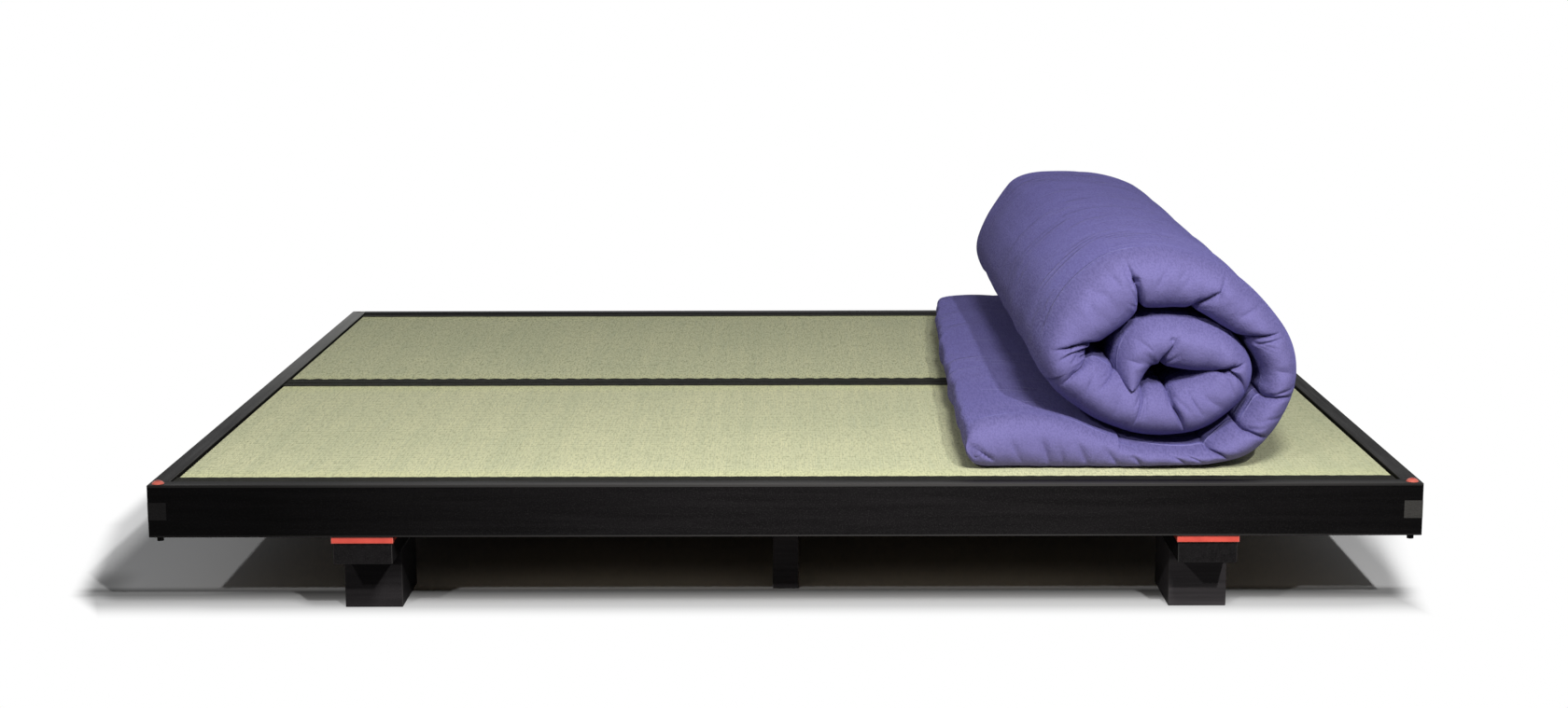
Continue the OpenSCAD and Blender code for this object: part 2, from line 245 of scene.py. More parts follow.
def coat(tree, shader, tone, rough=None):
    """Joins a finish's colour, and its roughness where that varies."""
    tree.links.new(tone, shader.inputs["Base Color"])
    if rough is not None:
        tree.links.new(rough, shader.inputs["Roughness"])


def mix_colour(tree, share, first, second):
    made = add_node(tree, "Mix", data_type="RGBA")
    for socket, value in ((0, share), (6, first), (7, second)):
        if isinstance(value, bpy.types.NodeSocket):
            tree.links.new(value, made.inputs[socket])
        else:
            made.inputs[socket].default_value = value
    return made.outputs[2]


def add_noise(tree, place, scale, detail, stretch=(1.0, 1.0, 1.0)):
    scaled = add_node(tree, "Mapping", {"Vector": place, "Scale": stretch}).outputs[0]
    return add_node(
        tree, "TexNoise", {"Vector": scaled, "Scale": scale, "Detail": detail}
    ).outputs["Fac"]


def spread(tree, cloud, to_low=0.0, to_high=1.0):
    """A noise's usual values, from 0.3 to 0.7, spread over a range."""
    return map_range(tree, cloud, 0.3, 0.7, to_low, to_high)


def add_bump(tree, shader, height, distance):
    bump = add_node(tree, "Bump", {"Height": height, "Distance": distance, "Strength": 1.0})
    tree.links.new(bump.outputs[0], shader.inputs["Normal"])


def grain_stretch(along):
    """Squeezes a pattern across the grain, so that it runs along one axis."""
    return tuple(1.0 if axis == along else 22.0 for axis in "xyz")


def arris_share(tree, share):
    """A share on the small bevels along the edges, whose faces point along no axis."""
    normal = add_node(tree, "NewGeometry").outputs["True Normal"]
    parts = split_axes(tree, add_node(tree, "VectorMath", {0: normal}, operation="ABSOLUTE").outputs[0])
    largest = add_math(tree, "MAXIMUM", *parts)
    return add_math(tree, "MULTIPLY", add_math(tree, "LESS_THAN", largest, 0.9), share)


def shade_and_wear_long_rail(tree, place, tone, out, low, high):
    """Painted shade darkens both ends; the top and the bottom arris are worn paler, partly a painted
    highlight.
    """
    x, y, z = split_axes(tree, place)
    off_middle = add_math(tree, "ABSOLUTE", add_math(tree, "SUBTRACT", x, 0.15))
    ends = map_range(tree, off_middle, 0.25, 1.0, 0.0, 0.80)
    tone = mix_colour(tree, ends, tone, (0.0004, 0.0004, 0.0004, 1))
    outward = map_range(tree, add_math(tree, "ABSOLUTE", y), out - 0.020, out - 0.008)
    top = add_math(tree, "MULTIPLY", outward, add_math(tree, "GREATER_THAN", z, high - 0.004))
    foot = map_range(tree, z, low + 0.0035, low + 0.0015)
    less_at_ends = map_range(tree, ends, 0.8, 0.0, 0.22, 1.0)
    worn = add_math(tree, "MULTIPLY", add_math(tree, "MAXIMUM", top, foot), less_at_ends)
    return mix_colour(tree, worn, tone, (0.042, 0.040, 0.039, 1))


def paint_left_rail_reflection(tree, place, tone, left_of, above):
    """A painted reflection along the left rail's top, paler towards the rear."""
    x, y, z = split_axes(tree, place)
    paler_rearward = add_math(tree, "POWER", map_range(tree, y, -0.50, 0.93), 1.45)
    on_left = add_math(tree, "LESS_THAN", x, left_of)
    on_top = add_math(tree, "GREATER_THAN", z, above)
    painted_reflection = add_math(tree, "MULTIPLY", paler_rearward, on_left, on_top)
    return mix_colour(tree, painted_reflection, tone, (0.235, 0.235, 0.225, 1))


def show_tenon(tree, place, tone, beyond, dark, light):
    """The tenon's end, where the open grain took the stain unevenly."""
    across = add_math(tree, "ABSOLUTE", split_axes(tree, place)[1])
    pores = add_noise(tree, place, 900.0, 2.0)
    patch = mix_colour(tree, spread(tree, pores), dark, light)
    return mix_colour(tree, add_math(tree, "GREATER_THAN", across, beyond), tone, patch)


def black_lacquer(name, along, lift=1.0, worn_and_shaded=None, top_reflection=None, tenon=None):
    """Satin black with the grain along one axis; lift makes all of it paler."""
    finish, tree, shader = new_finish(name, 0.42, 0.011)
    place = own_place(tree)
    grain = add_noise(tree, place, 5.0, 6.0, grain_stretch(along))
    cloud = add_noise(tree, place, 3.0, 3.0)
    dust = add_noise(tree, place, 520.0, 1.5)
    low_tone, high_tone = (
        tuple(lift * part for part in tone) + (1,)
        for tone in ((0.0022, 0.0020, 0.0021), (0.0062, 0.0056, 0.0059))
    )
    tone = mix_colour(tree, map_range(tree, grain, 0.35, 0.7, 0.30, 0.75), low_tone, high_tone)
    dusty = map_range(tree, dust, 0.50, 0.74, 0.0, 0.34)
    tone = mix_colour(tree, dusty, tone, (0.034, 0.033, 0.032, 1))
    # the bevels along the edges are painted paler: worn, and partly a painted highlight
    tone = mix_colour(tree, arris_share(tree, 0.6), tone, (0.050, 0.048, 0.046, 1))
    if worn_and_shaded:
        tone = shade_and_wear_long_rail(tree, place, tone, **worn_and_shaded)
    if top_reflection:
        tone = paint_left_rail_reflection(tree, place, tone, **top_reflection)
    if tenon:
        tone = show_tenon(tree, place, tone, **tenon)
    rough = map_range(tree, add_math(tree, "ADD", grain, cloud), 0.7, 1.3, 0.34, 0.50)
    coat(tree, shader, tone, rough)
    height = add_math(tree, "ADD", grain, add_math(tree, "MULTIPLY", dust, 0.5))
    add_bump(tree, shader, height, 0.00035)
    return finish


def dress(material, slot, *nodes):
    """Gives CAD pieces their finish."""
    for name in nodes:
        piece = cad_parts[name]
        piece.data.materials.clear()
        piece.data.materials.append(material)


rail_low, rail_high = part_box("front_rail")
side_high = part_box("left_rail")[1]
worn_and_shaded = {"out": -rail_low.y, "low": rail_low.z, "high": rail_high.z}
top_reflection = {"left_of": side_high.x + 0.0005, "above": rail_high.z - 0.0025}
tenon_from = side_high.y - 0.0008
left_tenon = {
    "beyond": tenon_from, "dark": (0.0050, 0.0048, 0.0048, 1), "light": (0.010, 0.0094, 0.0094, 1),
}
# the right tenon's end is painted far paler than the left one's, a painted highlight
right_tenon = {
    "beyond": tenon_from, "dark": (0.024, 0.023, 0.0215, 1), "light": (0.045, 0.043, 0.040, 1),
}
dress(
    black_lacquer("black_lacquer_long", "x", lift=1.7, worn_and_shaded=worn_and_shaded, top_reflection=top_reflection), "black_lacquer",
    "front_rail", "rear_rail",
)
dress(
    black_lacquer("black_lacquer_left", "y", top_reflection=top_reflection, tenon=left_tenon), "black_lacquer",
    "left_rail",
)
dress(black_lacquer("black_lacquer_right", "y", tenon=right_tenon), "black_lacquer", "right_rail")


# Corner pins: turned hardwood pins, lacquered black, that lock the tenons. The front
# two carry a domed head of red lacquered wood; the rear two end flush with the rail.

def red_lacquer(name, colour, dark, gloss):
    finish, tree, shader = new_finish(name, 0.36, gloss)
    place = own_place(tree)
    cloud = add_noise(tree, place, 60.0, 4.0)
    dust = add_noise(tree, place, 900.0, 2.0)
    tone = mix_colour(tree, spread(tree, cloud), dark, colour)
    # the bevels are painted paler: worn, and partly a painted highlight
    tone = mix_colour(tree, arris_share(tree, 0.35), tone, (0.75, 0.22, 0.16, 1))
    coat(tree, shader, tone, spread(tree, cloud, 0.30, 0.44))
    add_bump(tree, shader, add_math(tree, "ADD", cloud, dust), 0.00015)
    return finish


corners = ("front_left", "front_right", "rear_left", "rear_right")
dress(black_lacquer("black_lacquer_pins", "z"), "black_lacquer", *("pin_" + c for c in corners))
# the heads take a darker copy of the pads' red, a painted shade where the lamps light their tops
shaded_head_red = red_lacquer("red_lacquer_heads_painted_darker", (0.26, 0.020, 0.012, 1), (0.19, 0.014, 0.009, 1), 0.22)
dress(shaded_head_red, "red_lacquer", "pin_head_front_left", "pin_head_front_right")


# Feet: two black cross beams under the frame, each on two solid blocks, with a
# flat red pad between the beam and the rail at every end.

dress(
    black_lacquer("black_lacquer_beams", "y", lift=1.8), "black_lacquer",
    "left_cross_beam", "right_cross_beam", "centre_beam",
)
# painted light: the feet and centre legs take paler copies of the lacquer, the right feet and the legs
# far paler than the left feet
dress(
    black_lacquer("black_lacquer_left_feet_painted_paler", "x", lift=4.2), "black_lacquer",
    "foot_front_left", "foot_rear_left",
)
dress(
    black_lacquer("black_lacquer_right_feet_painted_paler", "x", lift=11.0), "black_lacquer",
    "foot_front_right", "foot_rear_right", "centre_leg_front", "centre_leg_rear",
)
pad_red = red_lacquer("red_lacquer_pads", (0.53, 0.060, 0.038, 1), (0.43, 0.040, 0.025, 1), 0.5)
dress(pad_red, "red_lacquer", *("pad_" + c for c in corners))


# Slats: planed pine boards, unfinished, on pine ledges and a bearer under the
# seam. Two cotton straps, stapled underneath, keep each row of slats in place.

def bare_pine(name, along):
    finish, tree, shader = new_finish(name, 0.62, 0.3)
    place = own_place(tree)
    squeeze = tuple(0.10 if axis == along else 1.0 for axis in "xyz")
    squeezed = add_node(tree, "Mapping", {"Vector": place, "Scale": squeeze}).outputs[0]
    rings = add_node(
        tree, "TexWave",
        {"Vector": squeezed, "Scale": 34.0, "Distortion": 9.0, "Detail": 3.0, "Detail Scale": 0.8},
        wave_type="RINGS", rings_direction=along.upper(),
    ).outputs["Fac"]
    pores = add_noise(tree, place, 9.0, 5.0, grain_stretch(along))
    tone = mix_colour(tree, rings, (0.40, 0.26, 0.14, 1), (0.52, 0.39, 0.25, 1))
    pitted = map_range(tree, pores, 0.35, 0.75, 0.0, 0.5)
    tone = mix_colour(tree, pitted, tone, (0.34, 0.21, 0.11, 1))
    coat(tree, shader, tone, spread(tree, pores, 0.52, 0.72))
    height = add_math(tree, "ADD", pores, add_math(tree, "MULTIPLY", rings, 0.4))
    add_bump(tree, shader, height, 0.0003)
    return finish


def cotton_webbing():
    finish, tree, shader = new_finish("cotton_webbing", 0.88, 0.2)
    place = own_place(tree)
    twill = add_node(
        tree, "TexWave", {"Vector": place, "Scale": 160.0, "Distortion": 0.6, "Detail": 1.0},
        wave_type="BANDS", bands_direction="DIAGONAL",
    ).outputs["Fac"]
    fibres = add_noise(tree, place, 700.0, 2.0)
    tone = mix_colour(tree, twill, (0.52, 0.49, 0.40, 1), (0.74, 0.71, 0.62, 1))
    coat(tree, shader, mix_colour(tree, spread(tree, fibres, 0.0, 0.3), tone, (0.42, 0.40, 0.33, 1)))
    add_bump(tree, shader, add_math(tree, "ADD", twill, fibres), 0.0004)
    return finish


def zinc_steel():
    finish, tree, shader = new_finish("zinc_steel", 0.34, 0.5)
    shader.inputs["Metallic"].default_value = 1.0
    bloom = add_noise(tree, own_place(tree), 340.0, 3.0)
    tone = mix_colour(tree, spread(tree, bloom), (0.50, 0.49, 0.45, 1), (0.68, 0.68, 0.66, 1))
    coat(tree, shader, tone, spread(tree, bloom, 0.26, 0.46))
    return finish


dress(bare_pine("bare_pine_slats", "y"), "bare_pine", "front_slats", "rear_slats")
dress(bare_pine("bare_pine_long", "x"), "bare_pine", "front_ledge", "rear_ledge", "seam_bearer")
dress(cotton_webbing(), "cotton_webbing", "front_slat_straps", "rear_slat_straps")
dress(
    zinc_steel(), "zinc_steel",
    "ledge_screw_set", "foot_screw_set", "rail_screw_set", "leg_screw_set", "bearer_screw_set",
)


# Mat cores: rice straw pressed into a stiff slab, which shows only underneath.

def pressed_straw():
    finish, tree, shader = new_finish("pressed_straw", 0.85, 0.2)
    place = own_place(tree)
    stalks = add_noise(tree, place, 60.0, 4.0, (1.0, 9.0, 9.0))
    crossed = add_noise(tree, place, 52.0, 4.0, (9.0, 1.0, 9.0))
    tone = mix_colour(tree, spread(tree, stalks), (0.24, 0.18, 0.09, 1), (0.44, 0.36, 0.20, 1))
    crossing = map_range(tree, crossed, 0.45, 0.75)
    coat(tree, shader, mix_colour(tree, crossing, tone, (0.50, 0.42, 0.25, 1)))
    add_bump(tree, shader, add_math(tree, "MAXIMUM", stalks, crossed), 0.0012)
    return finish


dress(pressed_straw(), "pressed_straw", "front_mat_core", "rear_mat_core")


# Mat covers: rush stems woven side by side over strings that run the mat's length.
# The strings draw the stems down in rows, and the weave turns down over both ends.

def make_piece(name, points, faces, material, body):
    mesh = bpy.data.meshes.new(name)
    mesh.from_pydata([tuple(p) for p in points], [], faces)
    mesh.materials.append(material)
    shell = bmesh.new()
    shell.from_mesh(mesh)
    bmesh.ops.recalc_face_normals(shell, faces=shell.faces)
    for face in shell.faces:
        face.smooth = True
    shell.to_mesh(mesh)
    shell.free()
    piece = bpy.data.objects.new(name, mesh)
    scene.collection.objects.link(piece)
    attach(piece, body)
    return piece


def grid_faces(rows, columns, start=0, flip=False):
    """Quads between the points of a grid that are numbered row by row."""
    faces = []
    for i in range(rows - 1):
        for j in range(columns - 1):
            a = start + i * columns + j
            quad = (a, a + 1, a + columns + 1, a + columns)
            faces.append(quad[::-1] if flip else quad)
    return faces


row_pitch = 0.015          # between two strings
row_relief = 0.0006        # how deep a string draws the stems
row_points = 6             # mesh points from one string to the next
end_points, turn_points, top_points = 4, 7, 68
cover_turn = 0.0035        # radius over the mat's ends
cover_thick = 0.0023
under_border = 0.031       # how far the borders cover the weave
unevenness = 0.0002        # of the straw underneath


def woven_rush(name, middle, half_width, painted_dimming):
    """Rush from green to straw, paler and greener close to the borders, partly a painted sheen; the last
    argument paints shade over all of it.
    """
    finish, tree, shader = new_finish(name, 0.70, 0.16)
    weave = add_node(tree, "UVMap", uv_map="weave").outputs[0]
    along, across = split_axes(tree, weave)[:2]
    stem = add_noise(tree, weave, 1.0, 1.0, (560.0, 6.0, 1.0))
    cell = add_noise(tree, weave, 1.0, 2.0, (330.0, 66.0, 1.0))
    speckle = add_noise(tree, weave, 1.0, 2.0, (120.0, 26.0, 1.0))
    streak = add_noise(tree, weave, 1.0, 4.0, (30.0, 0.7, 1.0))
    patch = add_noise(tree, weave, 3.0, 3.0)
    row = add_math(tree, "COSINE", add_math(tree, "MULTIPLY", across, 2 * math.pi / row_pitch))
    # the stems' own tone, from grey-green to straw
    tint = add_math(
        tree, "ADD", spread(tree, stem, 0.0, 0.50), map_range(tree, streak, 0.36, 0.64, 0.0, 0.26),
        spread(tree, patch, 0.0, 0.3),
    )
    tone = mix_colour(tree, tint, (0.480, 0.504, 0.322, 1), (0.687, 0.673, 0.423, 1))
    # paler and greener close to the borders: the stems' own tone there, and a painted sheen
    off_middle = add_math(tree, "ABSOLUTE", add_math(tree, "SUBTRACT", across, middle))
    from_edge = add_math(tree, "SUBTRACT", half_width, off_middle)
    edge_tone_and_sheen = soft_step(tree, from_edge, 0.120, 0.030, 0.55)
    tone = mix_colour(tree, edge_tone_and_sheen, tone, (0.695, 0.700, 0.375, 1))
    # painted shade in the hollows between the stems, and where the strings draw them down, deeper on a
    # mat painted darker
    hollow = add_math(
        tree, "ADD", map_range(tree, cell, 0.46, 0.72, 0.0, 0.60),
        map_range(tree, row, 0.55, 1.0, 0.0, 0.16), map_range(tree, speckle, 0.50, 0.72, 0.0, 0.24),
    )
    hollow = add_math(tree, "MULTIPLY", hollow, 1.0 + 5.0 * painted_dimming)
    tone = mix_colour(tree, hollow, tone, (0.290, 0.300, 0.180, 1))
    # painted shade: darker towards the right-hand end
    painted_right_shade = map_range(tree, along, 1.70, 2.02, painted_dimming, painted_dimming + 0.30)
    tone = mix_colour(tree, painted_right_shade, tone, (0.26, 0.28, 0.17, 1))
    coat(tree, shader, tone, spread(tree, stem, 0.62, 0.82))
    raised = add_math(
        tree, "ADD", add_math(tree, "MULTIPLY", stem, 0.9), add_math(tree, "MULTIPLY", cell, -0.45),
        add_math(tree, "MULTIPLY", speckle, -0.4),
    )
    add_bump(tree, shader, raised, 0.0005)
    return finish


def cover_line(low, high):
    """The strings' line up one end of a mat, over the top and down the other end."""
    arc = np.linspace(0.0, math.pi / 2, turn_points)[1:-1]
    foot_z = np.linspace(low.z, high.z - cover_turn, end_points)
    end_x = [low.x] * len(foot_z) + list(low.x + cover_turn * (1 - np.cos(arc)))
    end_z = list(foot_z) + list(high.z - cover_turn * (1 - np.sin(arc)))
    flat_x = np.linspace(low.x + cover_turn, high.x - cover_turn, top_points)
    line_x = np.array(end_x + list(flat_x) + [low.x + high.x - x for x in end_x[::-1]])
    line_z = np.array(end_z + [high.z] * len(flat_x) + end_z[::-1])
    return line_x, line_z


def rush_cover(side, painted_dimming):
    node = f"{side}_mat_cover"
    low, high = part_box(node)
    finish = woven_rush(f"woven_rush_{side}", (low.y + high.y) / 2, (high.y - low.y) / 2, painted_dimming)
    line_x, line_z = cover_line(low, high)
    step = np.hypot(np.diff(line_x, prepend=line_x[0]), np.diff(line_z, prepend=line_z[0]))
    run = np.cumsum(step)
    tangent = np.stack([np.gradient(line_x), np.gradient(line_z)], 1)
    tangent /= np.linalg.norm(tangent, axis=1)[:, None]
    out_x, out_z = -tangent[:, 1], tangent[:, 0]
    count = int(round((high.y - low.y) / row_pitch)) * row_points + 1
    across = np.linspace(low.y, high.y, count)
    # how far the strings, and at the sides the borders, press the weave down
    dip = np.abs(np.cos(np.pi * np.arange(count) / row_points)) ** 5
    edge = np.minimum(across - low.y, high.y - across)
    open_share = np.clip((edge - under_border) / 0.004, 0.0, 1.0)
    sink = 0.0002 + open_share * row_relief * dip + (1 - open_share) * 0.0003
    points, weave = [], []
    for layer in (0.0, cover_thick):
        for i in range(len(line_x)):
            for j in range(count):
                drop = (sink[j] if layer == 0.0 else 0.0) + layer
                wave = unevenness * noise.noise(Vector((line_x[i] * 9, across[j] * 9, layer)))
                wave -= unevenness
                points.append((
                    line_x[i] - out_x[i] * (drop - wave),
                    across[j],
                    line_z[i] - out_z[i] * (drop - wave),
                ))
                weave.append((run[i], across[j]))
    rows, each = len(line_x), len(line_x) * count
    faces = grid_faces(rows, count) + grid_faces(rows, count, each, True)
    for i in range(rows - 1):
        for j in (0, count - 1):
            a, b = i * count + j, (i + 1) * count + j
            faces.append((a, b, b + each, a + each))
    for j in range(count - 1):
        for i in (0, rows - 1):
            a = i * count + j
            faces.append((a, a + 1, a + 1 + each, a + each))
    piece = make_piece(f"{side}_mat_rush", points, faces, finish, f"{side}_mat")
    layer = piece.data.uv_layers.new(name="weave")
    index = np.empty(len(piece.data.loops), np.int32)
    piece.data.loops.foreach_get("vertex_index", index)
    layer.data.foreach_set("uv", np.array(weave, np.float32)[index].ravel())
    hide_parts(node)


rush_cover("front", 0.0)
# the rear mat is painted darker all over, a painted shade
rush_cover("rear", 0.11)


# Borders: a strip of black cotton, doubled over each long edge of a mat and sewn
# through the weave every 30 mm, which draws its inner edge into shallow scallops.

stitch_pitch = 0.030
cloth_thick = 0.0009
turn_in = 0.020            # how far the strip reaches back under the mat
bend_radius = 0.005
# the photograph shows a slightly wider strip than the CAD piece at three of the edges
wider = {"front_outer": 0.007, "front_inner": 0.0, "rear_inner": 0.009, "rear_outer": 0.004}


def black_border_cloth():
    finish, tree, shader = new_finish("border_cloth", 0.90, 0.10)
    place = own_place(tree)
    warp, weft = (
        add_node(
            tree, "TexWave", {"Vector": place, "Scale": 330.0, "Distortion": 0.4}, bands_direction=axis
        ).outputs["Fac"]
        for axis in "XY"
    )
    lint = add_noise(tree, place, 900.0, 2.0)
    worn = add_noise(tree, place, 14.0, 3.0)
    threads = add_math(tree, "MULTIPLY", warp, weft)
    tone = mix_colour(tree, threads, (0.006, 0.0060, 0.0045, 1), (0.019, 0.0185, 0.014, 1))
    tone = mix_colour(tree, map_range(tree, lint, 0.55, 0.8, 0.0, 0.6), tone, (0.065, 0.062, 0.050, 1))
    tone = mix_colour(tree, map_range(tree, worn, 0.4, 0.7, 0.0, 0.4), tone, (0.024, 0.024, 0.018, 1))
    coat(tree, shader, tone)
    add_bump(tree, shader, add_math(tree, "ADD", threads, lint), 0.0003)
    return finish


border_cotton = black_border_cloth()


def cloth_border(mat, edge, outward):
    node = f"{mat}_mat_{edge}_border"
    low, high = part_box(node)
    width, height = high.y - low.y + wider[f"{mat}_{edge}"], high.z - low.z
    outer_y = high.y if outward > 0 else low.y
    stations = np.arange(low.x, high.x + 1e-6, stitch_pitch / 10)
    arc = np.linspace(0.0, math.pi / 2, 6)
    # outline of the folded strip: distance in from the mat's edge, height above its base
    top = [(width - d, height) for d in (0.0, 0.0008, 0.003, 0.006, 0.012, 0.018)]
    over = [(bend_radius * (1 - math.sin(a)), height - bend_radius * (1 - math.cos(a))) for a in arc]
    under = [(bend_radius * (1 - math.cos(a)), bend_radius * (1 - math.sin(a))) for a in arc]
    line = np.array(top + over + [(0.0, height / 2)] + under + [(turn_in / 2, 0.0), (turn_in, 0.0)])
    free = len(top)
    tangent = np.gradient(line, axis=0)
    tangent /= np.linalg.norm(tangent, axis=1)[:, None]
    inward = np.stack([-tangent[:, 1], tangent[:, 0]], 1)
    if inward[0, 1] > 0:
        inward = -inward
    points = []
    for x in stations:
        pull = abs(math.cos(math.pi * x / stitch_pitch)) ** 3
        ripple = noise.noise(Vector((x * 40, outer_y * 3, 0.0)))
        for layer in (0.0, cloth_thick):
            for k, (inset, up) in enumerate(line):
                near = max(0.0, 1 - k / (free - 1))
                inset_here = inset + near * (0.0011 * (1 - pull) - 0.0005 + 0.0003 * ripple)
                lift = 0.0
                if edge == "inner" and k < free:
                    lift = 0.0008 * (1 - pull) * (1 - k / free) * (1 + 0.7 * ripple)
                if k < free:
                    # the stitch sits on the third point in, and pulls there most
                    lift += -0.0001 - 0.0003 * pull * (1.0 if k == 2 else 0.35) - 0.0001 * (k < 2)
                y = inset_here + inward[k, 0] * layer
                z = up + inward[k, 1] * layer + lift
                points.append((x, outer_y - outward * y, low.z + z))
    n = len(line)
    ring = 2 * n
    loop = list(range(n)) + list(range(2 * n - 1, n - 1, -1))
    faces = []
    for i in range(len(stations) - 1):
        for a, b in zip(loop, loop[1:] + loop[:1]):
            faces.append((i * ring + a, i * ring + b, (i + 1) * ring + b, (i + 1) * ring + a))
    for i in (0, len(stations) - 1):
        for k in range(n - 1):
            a, b = i * ring + k, i * ring + k + 1
            faces.append((a, b, b + n, a + n))
    piece = make_piece(
        f"{mat}_mat_{edge}_cloth", points, faces, border_cotton, f"{mat}_mat"
    )
    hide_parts(node)


cloth_border("front", "outer", -1)
cloth_border("front", "inner", 1)
cloth_border("rear", "outer", 1)
cloth_border("rear", "inner", -1)


# Mattress: cotton wadding in a plain violet cotton cover, lying flat at its loose end
# and rolled up for two turns. The roll squeezes the wadding, so the cover folds into
# pleats on the inside of each bend and puffs out between them.

mm = 0.001
usual_thick = 0.09         # turns a share of the thickness into metres
# middle of its thickness at the front end: distance from the bed's middle, height
# above the mats, and how thick the mattress is there, in millimetres
roll = [
    (300, 38, 66), (328, 41, 81), (380, 44, 88), (428, 43, 86), (470, 39, 77), (510, 32, 62),
    (552, 25, 49), (600, 21, 41), (650, 18, 36), (702, 21, 43), (754, 40, 61), (790, 73, 63),
    (815, 116, 60), (823, 153, 56), (814, 193, 60), (788, 231, 67), (752, 267, 77), (708, 297, 83),
    (664, 312, 91), (617, 318, 97), (566, 310, 102), (527, 284, 104), (493, 248, 100), (469, 211, 84),
    (463, 183, 80), (478, 157, 88), (511, 131, 92), (553, 108, 93), (600, 93, 94), (648, 91, 93),
    (692, 102, 92), (728, 127, 86), (748, 156, 75), (738, 184, 72), (709, 201, 80), (672, 209, 89),
    (636, 213, 92), (606, 211, 88), (583, 193, 74), (573, 165, 60), (573, 134, 42),
]
# pleats, by the stations above: where each starts on the inside of the bend, where it
# dies out, how far through the thickness it reaches, how deep and wide it is in mm
pleats = [
    (19.76, 19.86, 0.93, 26, 30), (17.46, 16.86, 0.56, 25, 24), (15.14, 14.52, 0.84, 22, 22),
    (11.88, 12.36, 1.00, 20, 20), (10.38, 10.90, 1.00, 21, 22), (9.05, 9.60, 0.84, 19, 20),
    (22.50, 23.62, 0.80, 24, 20), (22.90, 24.05, 0.70, 15, 16), (24.88, 25.02, 0.86, 19, 22),
    (32.44, 32.54, 0.84, 20, 18), (32.62, 31.36, 1.00, 25, 20), (28.78, 29.38, 1.00, 27, 22),
    (27.70, 27.64, 0.86, 12, 20), (36.38, 35.60, 0.68, 15, 16), (26.35, 26.10, 0.40, 7, 18),
]
pleat_run = 0.30           # how far in from an end a pleat may run
pleat_line, pinch_width = 0.0022, 0.017
pucker_depth, pucker_line, pucker_width = 0.0056, 0.0018, 0.009
# swellings between the pleats: from station to station, and how far in mm
swells = [
    (19.76, 22.6, 10), (17.46, 19.76, 8), (15.1, 17.46, 7), (11.9, 15.1, 5), (10.4, 11.9, 3),
    (9.05, 10.4, 3), (24.9, 27.7, 8), (27.7, 28.8, 2), (28.8, 32.5, 7), (32.5, 36.4, 8), (36.4, 39.6, 6),
]
# short loose folds: from a station and share of the thickness to another, and how
# deep and wide each is beside the others
loose_folds = [
    (19.92, 0.54, 20.04, 0.06, 5.0, 2.6), (20.30, 0.42, 20.42, 0.08, 3.0, 4.0),
    (16.92, 0.05, 16.84, 0.62, 4.5, 3.0), (14.78, 0.88, 14.42, 0.22, 4.5, 2.6),
    (2.95, 0.56, 3.40, 0.03, 5.0, 7.0), (4.35, 0.62, 5.05, 0.02, 5.5, 8.0),
    (5.52, 0.64, 6.20, 0.04, 5.0, 7.0), (6.55, 0.52, 7.00, 0.02, 5.0, 6.0),
    (0.32, 0.56, 1.30, 0.22, 8.0, 3.0), (0.34, 0.44, 0.80, 0.06, 6.0, 3.0),
    (3.70, 0.40, 4.00, 0.05, 3.0, 5.0), (1.90, 0.55, 2.30, 0.10, 3.0, 8.0),
    (21.2, 0.30, 21.9, 0.62, 2.4, 7.0), (17.9, 0.25, 18.2, 0.62, 2.0, 8.0),
    (26.9, 0.70, 27.0, 0.25, 2.4, 6.0), (30.2, 0.80, 30.6, 0.30, 2.2, 7.0),
    (13.4, 0.70, 13.1, 0.20, 2.4, 6.0), (7.7, 0.80, 8.5, 0.10, 3.6, 4.0),
    (8.1, 0.90, 8.9, 0.25, 3.2, 3.0), (8.6, 0.95, 9.5, 0.35, 3.2, 3.0),
    (19.1, 0.60, 18.6, 0.15, 2.8, 5.0), (18.4, 0.45, 17.9, 0.12, 2.4, 5.0),
    (20.9, 0.40, 21.3, 0.10, 2.6, 5.0), (12.3, 0.55, 12.7, 0.10, 2.8, 4.0),
    (11.3, 0.50, 11.6, 0.08, 2.6, 4.0), (15.9, 0.60, 15.6, 0.10, 2.6, 5.0),
    (25.6, 0.75, 25.9, 0.20, 2.6, 4.0), (29.6, 0.90, 29.9, 0.40, 3.0, 4.0),
    (31.8, 0.85, 31.2, 0.35, 3.0, 4.0), (33.4, 0.80, 33.9, 0.30, 2.6, 5.0),
    (37.2, 0.60, 37.6, 0.15, 2.6, 4.0), (38.4, 0.70, 38.5, 0.20, 2.4, 4.0),
]
fold_depth, fold_width, fold_power = 0.0015, 0.00085, 1.3
# small pits where a pleat closes over itself: station, share of the thickness, depth in mm
pits = [(19.76, 0.47, 15), (35.95, 0.43, 7), (23.15, 0.62, 6)]
pit_radius = 0.0042


def smooth_line(stations, steps):
    """A smooth curve through the stations, with each point's own station number last."""
    given = np.array(stations, float)
    last = len(given) - 1
    out = []
    for i in range(last):
        a, b, c, d = (given[min(max(i + k, 0), last)] for k in (-1, 0, 1, 2))
        for k in range(steps):
            u = k / steps
            square, cube = 2 * a - 5 * b + 4 * c - d, 3 * b - a - 3 * c + d
            value = b + ((c - a) * u + square * u ** 2 + cube * u ** 3) / 2
            out.append((*value, i + u))
    out.append((*given[last], last))
    return np.array(out)


def end_rounding(width, count, power):
    """Distances from a rounded end, and the share of the thickness at each."""
    angle = np.linspace(0.0, math.pi / 2, count)
    return (
        width * (1 - np.sin(angle[::-1]) ** (2 / power)),
        np.cos(angle[::-1]) ** (2 / power),
    )


fine = smooth_line(roll, 16)
fine[:, :3] *= mm
run = np.concatenate([[0.0], np.cumsum(np.hypot(np.diff(fine[:, 0]), np.diff(fine[:, 1])))])
whole_run = run[-1]
start_d, start_share = end_rounding(0.022, 8, 3.4)
tip_d, tip_share = end_rounding(0.024, 8, 3.4)


def station_to_run(value):
    return np.interp(value, fine[:, 3], run)


